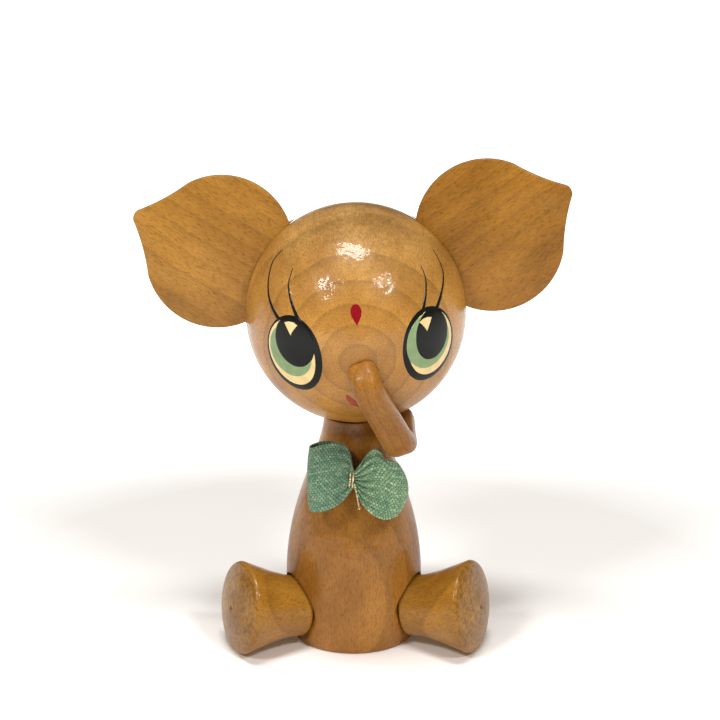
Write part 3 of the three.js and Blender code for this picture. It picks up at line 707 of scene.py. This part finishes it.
def on_ball(azimuth, height, layer=0.0):
    a, h = math.radians(azimuth), math.radians(height)
    way = Vector((math.sin(a) * math.cos(h), -math.cos(a) * math.cos(h), math.sin(h)))
    return way * (HEAD_RADIUS + layer * MM)


def beside(azimuth, height, right, up, layer=0.0):
    """A point `right` and `up` mm along the ball's surface from a place on it."""
    way = on_ball(azimuth, height).normalized()
    east = Vector((0, 0, 1)).cross(way).normalized()
    north = way.cross(east)
    step = east * right + north * up
    if step.length < 1e-9:
        return way * (HEAD_RADIUS + layer * MM)
    angle = step.length * MM / HEAD_RADIUS
    turned_way = way * math.cos(angle) + step.normalized() * math.sin(angle)
    return turned_way * (HEAD_RADIUS + layer * MM)


def backed(mark):
    """Turn a coat of paint to face outwards and give it a closed underside in the wood."""
    placed(mark, head_place)
    tidy_mesh(mark)
    middle = head_place.translation
    if sum(f.normal.dot(f.center - middle) for f in mark.data.polygons) < 0:
        edit(mark)
        bpy.ops.mesh.flip_normals()
    modify(mark, "SOLIDIFY", thickness=0.08 * MM, offset=-1)
    smooth(mark, 60)


def spot(name, material, place, outline, layer, rings=6):
    """A drop of enamel with that outline in mm round its place, rounded off at the edge."""
    count = len(outline)
    middle = sum((Vector(p) for p in outline), Vector((0, 0))) / count
    only()
    bpy.ops.mesh.primitive_circle_add(vertices=count, radius=MM)
    drop = bpy.context.object
    drop.name = name
    edit(drop)
    for _ in range(rings):
        bpy.ops.mesh.extrude_region_move()
        bpy.ops.transform.resize(value=(0.8, 0.8, 0.8))
    bpy.ops.mesh.edge_face_add()
    bpy.ops.mesh.poke()
    only(drop)
    shares = [1.0, 0.985, 0.95, 0.86, 0.66, 0.40, 0.18][: rings + 1]
    heights = [-0.02, 0.6, 0.9, 1.0, 1.0, 1.0, 1.0]
    for index, vertex in enumerate(drop.data.vertices):
        ring, k = divmod(index, count)
        if ring > rings:
            vertex.co = beside(*place, *middle, layer)
            continue
        p = middle + (Vector(outline[k]) - middle) * shares[ring]
        lift = layer * heights[ring] if ring else -0.02
        vertex.co = beside(*place, *p, lift)
    backed(drop)
    finished(drop, material, "head_group")
    return drop


def oval(wide, tall, tilt=0.0, right=0.0, up=0.0, count=96, egg=0.0):
    lean = math.radians(tilt)
    points = []
    for i in range(count):
        a = TURN * i / count
        x, y = wide * math.cos(a) * (1 + egg * math.sin(a)), tall * math.sin(a)
        points.append((right + x * math.cos(lean) - y * math.sin(lean),
                       up + x * math.sin(lean) + y * math.cos(lean)))
    return points


# %%
# Eyes. Each layer is set a little off the one below, which makes the black rim thick on one side
eyes = {
    "right": {"rim": (-35.25, -6.0, 6.06, 7.42, -2.1), "white": (-36.3, -5.3, 5.15, 6.45, 4.2),
              "iris": (-36.3, -3.7, 4.75, 5.15, 0), "pupil": (-33.2, 1.4, 4.15, 4.85, 16),
              "catch": (-34.6, 8.4, 1)},
    "left": {"rim": (41.8, -7.2, 6.18, 7.26, 9.4), "white": (42.5, -6.2, 5.35, 6.3, 7.4),
             "iris": (40.8, -4.5, 5.15, 5.3, 0), "pupil": (42.8, -1.6, 4.0, 4.75, -4),
             "catch": (38.9, 4.9, -1)},
}
for side, eye in eyes.items():
    layers = (("rim", black, 0.05), ("white", cream, 0.075), ("iris", green, 0.10),
              ("pupil", black, 0.125))
    for part, paint, layer in layers:
        azimuth, height, wide, tall, tilt = eye[part]
        spot(f"{side}_eye_{part}", paint, (azimuth, height), oval(wide, tall, tilt), layer)
    azimuth, height, lean = eye["catch"]
    notch = [(-1.5, 1.0), (-0.5, 1.25), (0.6, 1.2), (1.6, 0.75), (1.0, 0.1), (0.3, -0.75),
             (0.05, -1.3), (-0.35, -0.7), (-0.9, 0.1)]
    shape = [(x * lean * 0.95, y) for x, y in notch]
    spot(f"{side}_eye_catch", cream, (azimuth, height), shape[:: int(lean)], 0.145)


# %% [markdown]
# A lash is one stroke of a fine brush: it starts wide and ends in a point. A narrow grid is
# laid along the stroke's path, and its width follows the brush.

# %%
# Brush strokes


def along_path(places, share):
    """A smooth path through a few places, by Catmull-Rom."""
    reach = share * (len(places) - 1)
    i = min(int(reach), len(places) - 2)
    t = reach - i
    p = [Vector(places[max(0, min(len(places) - 1, i + k))]) for k in (-1, 0, 1, 2)]
    return 0.5 * (2 * p[1] + (p[2] - p[0]) * t + (2 * p[0] - 5 * p[1] + 4 * p[2] - p[3]) * t * t
                  + (3 * p[1] - p[0] - 3 * p[2] + p[3]) * t ** 3)


def stroke(name, material, places, widths, layer=0.06, steps=48):
    only()
    bpy.ops.mesh.primitive_grid_add(x_subdivisions=steps, y_subdivisions=6, size=MM)
    mark = bpy.context.object
    mark.name = name
    for index, vertex in enumerate(mark.data.vertices):
        row, column = divmod(index, steps + 1)
        share, across = column / steps, row / 3 - 1
        here = on_ball(*along_path(places, share))
        ahead = on_ball(*along_path(places, min(1, share + 0.01)))
        behind = on_ball(*along_path(places, max(0, share - 0.01)))
        side = (ahead - behind).cross(here).normalized()
        wide = along_path([(w, 0) for w in widths], share)[0]
        way = (here + side * across * wide / 2 * MM).normalized()
        vertex.co = way * (HEAD_RADIUS + (layer * (1 - across ** 4) - 0.02 * across ** 4) * MM)
    backed(mark)
    finished(mark, material, "head_group")


# %%
# Lashes, the drop on the brow, the mouth and an old scratch
lash = (0.95, 0.66, 0.48, 0.38, 0.30, 0.14)
stroke("right_outer_lash", black, [(-42.4, 11.5), (-49.2, 17.5), (-54.8, 24.0), (-61.4, 34.8),
                                   (-63.4, 40.9), (-60.9, 46.8)], lash)
stroke("right_inner_lash", black, [(-29.0, 11.5), (-34.7, 20.4), (-38.3, 26.5), (-40.3, 31.2),
                                   (-40.8, 38.9)], lash)
stroke("left_inner_lash", black, [(36.0, 8.5), (40.8, 16.2), (44.2, 22.0), (46.8, 27.4),
                                  (47.8, 34.0)], lash)
stroke("left_outer_lash", black, [(48.0, 11.0), (54.3, 16.8), (60.2, 22.1), (65.1, 27.9),
                                  (68.9, 38.6)], lash)
drop_shape = [(0, -1.95), (0.45, -1.15), (0.85, -0.3), (0.98, 0.5), (0.85, 1.25), (0.45, 1.75),
              (0, 1.9), (-0.45, 1.75), (-0.85, 1.25), (-0.98, 0.5), (-0.85, -0.3), (-0.45, -1.15)]
spot("brow_drop", crimson, (1.4, 16.0), drop_shape, 0.06)
stroke("painted_mouth", brick, [(-7.6, -29.6), (-6.1, -33.2), (-3.0, -36.8), (2.8, -38.6),
                                (8.6, -36.8), (11.7, -33.2), (13.2, -29.6)],
       (0.5, 1.35, 1.6, 1.5, 1.6, 1.35, 0.5))
stroke("old_scratch", scratch_white, [(-40.0, 27.6), (-37.2, 26.4), (-35.2, 25.6)],
       (0.05, 0.16, 0.05), 0.02)

# %% [markdown]
# ## Glue and painted shadow
# The ears are glued in. Round the root of the right ear the glue and lacquer have built up
# into a pale fillet. Along the left ear's kerf a dark bead is painted shadow: the shade in the
# gap where the ear leaves the ball. Both are small pieces of their own: a bead that follows the
# line where the ear leaves the ball.

# %%
# Beads along the root of an ear


def bead(name, ear, material, start, end, radius, out=0.0):
    """A bead on the front of an ear, between two angles along the ball, in degrees."""
    place = ear_frame(**ear)
    front = -EAR_THICKNESS / 2 if ear["side"] > 0 else EAR_THICKNESS / 2
    seam = [Vector((math.cos(math.radians(a)), math.sin(math.radians(a)), 0))
            for a in [start + (end - start) * i / 40 for i in range(41)]]
    line = bpy.data.curves.new(name, "CURVE")
    line.dimensions = "3D"
    line.bevel_depth, line.bevel_resolution = radius * MM, 4
    line.use_fill_caps = True
    run = line.splines.new("POLY")
    run.points.add(len(seam) - 1)
    for i, (point, way) in enumerate(zip(run.points, seam)):
        spread = HEAD_RADIUS - (ear["proud"] * way.x) * MM + out * MM
        here = place @ (way * spread + Vector((0, 0, front * MM)))
        point.co = (*here, 1)
        point.radius = min(1, 6 * i / 40, 6 * (40 - i) / 40) * (1 + 0.18 * math.sin(i * 1.7)) + 0.05
    piece = bpy.data.objects.new(name, line)
    bpy.context.scene.collection.objects.link(piece)
    only(piece)
    bpy.ops.object.convert(target="MESH")
    smooth(bpy.context.object, 60)
    finished(bpy.context.object, material, "head_group")


glue = wood("lacquer_fillet", (0.464, 0.215, 0.052), (0.654, 0.344, 0.103), gloss=1.0, ring=6)
# Painted shadow: a near-black bead where the gap between the left ear and the ball is in shade
painted_gap_shadow = wood("kerf_shadow_paint", (0.06, 0.03, 0.012), (0.12, 0.06, 0.02), gloss=0.0, ring=2)
bead("right_ear_fillet", ears["right_ear"], glue, -33, 33, 0.42, 0.1)
bead("left_ear_kerf_shadow", ears["left_ear"], painted_gap_shadow, -32, 33, 0.16, 0.0)

# %% [markdown]
# ## Ribbon bow
# One ribbon, 12 mm wide, makes both loops: behind the left loop, round its end, over the front,
# under the thread, and the same on the other side. Where the thread pulls it together the cloth
# stands in folds, which flatten outwards. A grid primitive is laid along that path. The ribbon
# is a basket weave of coarse cords, and the cords are shaped in the mesh and not only drawn.

# %%
# The bow's own frame on the chest
RIBBON_WIDTH, RIBBON_THICKNESS, RIB = 12.0, 0.22, 0.63
BOW_HEIGHT, CHEST_LEAN, CHEST_RADIUS = 33.335, math.radians(18.65), 8.05
BOW_OUT = 2 * 0.3 + 2 * 0.3 + 0.3 + 1.2  # behind it pass the gap and the thread
bow_place = Matrix.Translation(Vector((0, -CHEST_RADIUS - BOW_OUT * math.cos(CHEST_LEAN),
                                       BOW_HEIGHT + BOW_OUT * math.sin(CHEST_LEAN))) * MM
                               ) @ Matrix.Rotation(math.pi / 2 - CHEST_LEAN, 4, "X")


def ease(t):
    t = min(1, max(0, t))
    return t * t * (3 - 2 * t)


def loop_point(loop, turn, across):
    """A point of one loop: `turn` goes from 0 at the tie round the loop to 1 at the tie."""
    angle = TURN * turn
    u = math.sin(angle / 2)
    front = (1 + loop["first"] * -math.cos(angle / 2) * 2) / 2
    behind = ease(1 - front)
    opened = u ** loop["opens"]
    top = along_path([(h, 0) for h in loop["top"]], opened)[0] + loop["back_rise"] * behind * u
    bottom = along_path([(h, 0) for h in loop["bottom"]], opened)[0] + loop["back_rise"] * behind * u
    height = (top + bottom) / 2 + (top - bottom) / 2 * across
    x = loop["side"] * loop["reach"] * u * (1 - loop["bulge"] * across * across)
    deep = -loop["first"] * loop["deep"] / 2 * math.sin(angle)
    fold = loop["fold"] * (1 - ease(u / loop["flat_from"])) + loop["ripple"] * u
    pleat = fold * math.cos(loop["folds"] * math.pi * (across + 0.1))
    layer = -loop["first"] * 0.36 * math.cos(angle / 2)
    crown = -loop["first"] * loop["crown"] * (1 - across * across) * math.sin(angle)
    crease = loop["crease"] * math.exp(-((across + 0.15) / 0.09) ** 2) * (1 - u)
    return Vector((x, height, deep + layer + pleat + crown - crease)) * MM


# Heights of the top and bottom edge above the tie, at equal steps from the tie outwards. The
# left loop's top dips where the trunk hangs over it, so that the two don't touch
right_loop = {"side": -1, "first": 1, "reach": 8.3, "deep": 3.2, "fold": 0.38, "ripple": 0.04, "opens": 0.72,
              "folds": 5, "flat_from": 0.75, "crown": 0.5, "crease": 0.9, "bulge": 0.05,
              "back_rise": 0.7, "top": (1.3, 5.2, 6.3, 6.6, 6.4, 5.7),
              "bottom": (-1.3, -2.3, -3.9, -5.0, -5.6, -5.7)}
left_loop = {"side": 1, "first": -1, "reach": 9.8, "deep": 3.2, "fold": 0.42, "ripple": 0.10, "opens": 1.0,
             "folds": 7, "flat_from": 1.25, "crown": 0.3, "crease": 0.0, "bulge": 0.21,
             "back_rise": 0.0, "top": (1.3, 2.2, 3.3, 4.4, 5.2, 5.6, 5.2, 4.1, 3.5, 3.4, 3.3),
             "bottom": (-1.3, -4.2, -5.9, -6.8, -7.0, -6.5)}

# %%
# The ribbon, cord by cord
STEPS_ALONG, STEPS_ACROSS = 372, 126
ROW = 0.43  # from one row of cords to the next, across the ribbon


def ribbon_point(share, across):
    if share < 0.5:
        return loop_point(right_loop, share * 2, across)
    return loop_point(left_loop, share * 2 - 1, across)


only()
bpy.ops.mesh.primitive_grid_add(x_subdivisions=STEPS_ALONG, y_subdivisions=STEPS_ACROSS, size=MM)
ribbon = bpy.context.object
ribbon.name = "folded_ribbon"
middle_line = [ribbon_point(i / STEPS_ALONG, 0.0) for i in range(STEPS_ALONG + 1)]
run = [0.0]
for a, b in zip(middle_line, middle_line[1:]):
    run.append(run[-1] + (b - a).length / MM)
weave = ribbon.data.uv_layers.active or ribbon.data.uv_layers.new(name="weave")
weave.name = "weave"
for loop in ribbon.data.loops:
    row, column = divmod(loop.vertex_index, STEPS_ALONG + 1)
    weave.data[loop.index].uv = (run[column] / RIB, row / STEPS_ACROSS * RIBBON_WIDTH / ROW)
points = [ribbon_point(c / STEPS_ALONG, 2 * r / STEPS_ACROSS - 1)
          for r in range(STEPS_ACROSS + 1) for c in range(STEPS_ALONG + 1)]
for vertex in ribbon.data.vertices:
    vertex.co = points[vertex.index]
ribbon.data.update()
flat_area = sum(face.area for face in ribbon.data.polygons)
normals = [vertex.normal.copy() for vertex in ribbon.data.vertices]
for vertex in ribbon.data.vertices:
    row, column = divmod(vertex.index, STEPS_ALONG + 1)
    v = row / STEPS_ACROSS * RIBBON_WIDTH / ROW
    u = run[column] / RIB + 0.5 * (int(v) % 2)
    over = math.sin(u * math.pi) * math.sin(v * math.pi)
    vertex.co += normals[vertex.index] * 0.07 * MM * (2 * abs(over) ** 0.6 - 1)
placed(ribbon, bow_place)
modify(ribbon, "SOLIDIFY", thickness=RIBBON_THICKNESS * MM, offset=0)
smooth(ribbon, 60)
print("ribbon's length along its middle", round(run[-1], 1), "mm, area", flat_area / MM ** 2)

# %% [markdown]
# The cloth is a matt sage green. The weave's own UV map counts cords along and rows across, so a
# brick texture paints a pale cord on each raised one, a painted highlight, and a dark gap round it,
# painted shade. Long thin noise is the silky streak along the ribbon, one loop has faded paler, and
# a few threads glitter.

# %%
# Ribbon cloth


def woven(name):
    material, tree = new_material(name)
    shader = tree.nodes["Principled BSDF"]
    uv = node(tree, "ShaderNodeUVMap")
    uv.uv_map = "weave"
    where = uv.outputs["UV"]
    # Painted light: the cords are painted in pale greens, a painted highlight on the raised weave, and the
    # mortar nearly black, painted shade in the gaps between them
    cords = node(tree, "ShaderNodeTexBrick", Vector=where, Scale=1.0, Brick_Width=1.0,
                 Row_Height=1.0, Mortar_Size=0.17, Mortar_Smooth=0.9, Color1=(0.115, 0.25, 0.165, 1),
                 Color2=(0.31, 0.45, 0.31, 1), Mortar=(0.018, 0.085, 0.060, 1))
    cords.offset, cords.offset_frequency = 0.5, 2
    silk = node(tree, "ShaderNodeMapping", Vector=where, Scale=(0.10, 1.6, 1)).outputs[0]
    thread_tone = node(tree, "ShaderNodeTexNoise", Vector=silk, Scale=1.0, Detail=4.0)
    streaks = ramp(tree, thread_tone.outputs["Fac"], (0.36, (0.66, 0.74, 0.72)),
                   (0.64, (1.28, 1.22, 1.10)))
    along = node(tree, "ShaderNodeSeparateXYZ", Vector=where).outputs["X"]
    half = node(tree, "ShaderNodeMapRange", Value=along, From_Min=run[-1] / RIB * 0.46,
                From_Max=run[-1] / RIB * 0.54).outputs[0]
    faded = ramp(tree, half, (0.0, (0.86, 0.86, 0.78)), (1.0, (1.26, 1.18, 1.0)))
    tone = mixed(tree, cords.outputs["Color"], streaks, 0.9)
    tree.links.new(mixed(tree, tone, faded), shader.inputs["Base Color"])
    specks = node(tree, "ShaderNodeTexVoronoi", Vector=where, Scale=3.2)
    glitter = ramp(tree, specks.outputs["Distance"], (0.0, grey(1.0)), (0.10, grey(0.0)))
    tree.links.new(glitter, shader.inputs["Metallic"])
    rough = ramp(tree, specks.outputs["Distance"], (0.0, grey(0.25)), (0.12, grey(0.62)))
    tree.links.new(rough, shader.inputs["Roughness"])
    fibres = node(tree, "ShaderNodeTexNoise", Vector=where, Scale=9.0, Detail=3.0)
    bump = node(tree, "ShaderNodeBump", Height=fibres.outputs["Fac"], Distance=0.00006,
                Strength=0.6)
    tree.links.new(bump.outputs[0], shader.inputs["Normal"])
    shader.inputs["Sheen Weight"].default_value = 0.25
    return material


finished(ribbon, woven("sage_ribbon"), "torso", ["bow_ribbon"])

# %% [markdown]
# A gold thread of three strands is wound twice round the gathers, and one tail hangs down in
# front with a small curl at its end. Strands are curves with a round bevel, made into one mesh.

# %%
# Gold thread


def strand(points, radius):
    line = bpy.data.curves.new("strand", "CURVE")
    line.dimensions = "3D"
    line.bevel_depth, line.bevel_resolution = radius * MM, 3
    line.use_fill_caps = True
    run_of = line.splines.new("POLY")
    run_of.points.add(len(points) - 1)
    for point, place in zip(run_of.points, points):
        point.co = (*(Vector(place) * MM), 1)
    made = bpy.data.objects.new("strand", line)
    bpy.context.scene.collection.objects.link(made)
    only(made)
    bpy.ops.object.convert(target="MESH")
    return bpy.context.object


def wound(offset):
    made = []
    for i in range(97):
        a = TURN * i / 48 + 0.5
        x = -0.75 + 1.1 * i / 96 + 0.10 * math.cos(9 * a + offset) + 0.3 * math.cos(a)
        lift = 0.10 * math.sin(9 * a + offset)
        made.append((x, (1.55 + lift) * math.cos(a), (1.55 + lift) * math.sin(a)))
    return made


def hanging(offset):
    made = []
    for i in range(49):
        t = i / 48
        twist = 14 * t * math.pi + offset
        if t < 0.8:
            x, y = 0.2 + 0.8 * t / 0.8, -0.6 - 4.1 * t / 0.8
        else:
            a = (t - 0.8) / 0.2 * math.pi * 1.3
            x, y = 1.0 + 0.2 * math.sin(a), -4.7 - 0.2 * (1 - math.cos(a))
        made.append((x + 0.09 * math.cos(twist), y, 1.65 + 0.8 * t + 0.09 * math.sin(twist)))
    return made


strands = [strand(wound(k * TURN / 3), 0.10) for k in range(3)]
strands += [strand(hanging(k * TURN / 2), 0.09) for k in range(2)]
only()
for piece in strands:
    piece.select_set(True)
bpy.context.view_layer.objects.active = strands[0]
bpy.ops.object.join()
thread = bpy.context.object
thread.name = "gold_thread"
placed(thread, bow_place)
smooth(thread, 60)
gold, tree = new_material("gold_thread")
shader = tree.nodes["Principled BSDF"]
where = node(tree, "ShaderNodeTexCoord").outputs["Object"]
dull = node(tree, "ShaderNodeTexNoise", Vector=where, Scale=2500.0, Detail=2.0).outputs["Fac"]
tree.links.new(ramp(tree, dull, (0.35, (0.50, 0.38, 0.16)), (0.6, (0.92, 0.82, 0.52))),
               shader.inputs["Base Color"])
tree.links.new(ramp(tree, dull, (0.3, grey(0.22)), (0.7, grey(0.45))), shader.inputs["Roughness"])
shader.inputs["Metallic"].default_value = 1.0
finished(thread, gold, "torso", ["bow_wire"])

# %% [markdown]
# ## Floor
# A plain white surface, large enough to be the whole background. It gives a little light of its
# own, as a lit table does, more of it further off where the lamps don't reach, and it keeps
# the figure's soft shadow.

# %%
# Floor
only()
bpy.ops.mesh.primitive_circle_add(vertices=96, radius=4.0, fill_type="NGON", location=(0, 0, 0))
floor = placed(bpy.context.object)
floor.name = "white_table"
table, tree = new_material("white_table")
shader = tree.nodes["Principled BSDF"]
shader.inputs["Base Color"].default_value = (0.93, 0.92, 0.91, 1)
shader.inputs["Roughness"].default_value = 0.7
where = node(tree, "ShaderNodeTexCoord").outputs["Object"]
away = tree.nodes.new("ShaderNodeVectorMath")
away.operation = "LENGTH"
tree.links.new(where, away.inputs[0])
share = node(tree, "ShaderNodeMapRange", Value=away.outputs["Value"], From_Min=0.08,
             From_Max=0.17).outputs[0]
glow = ramp(tree, share, (0.0, (0.07, 0.05, 0.03)), (1.0, grey(0.85)))
tree.links.new(glow, shader.inputs["Emission Color"])
shader.inputs["Emission Strength"].default_value = 1.0
floor.data.materials.append(table)
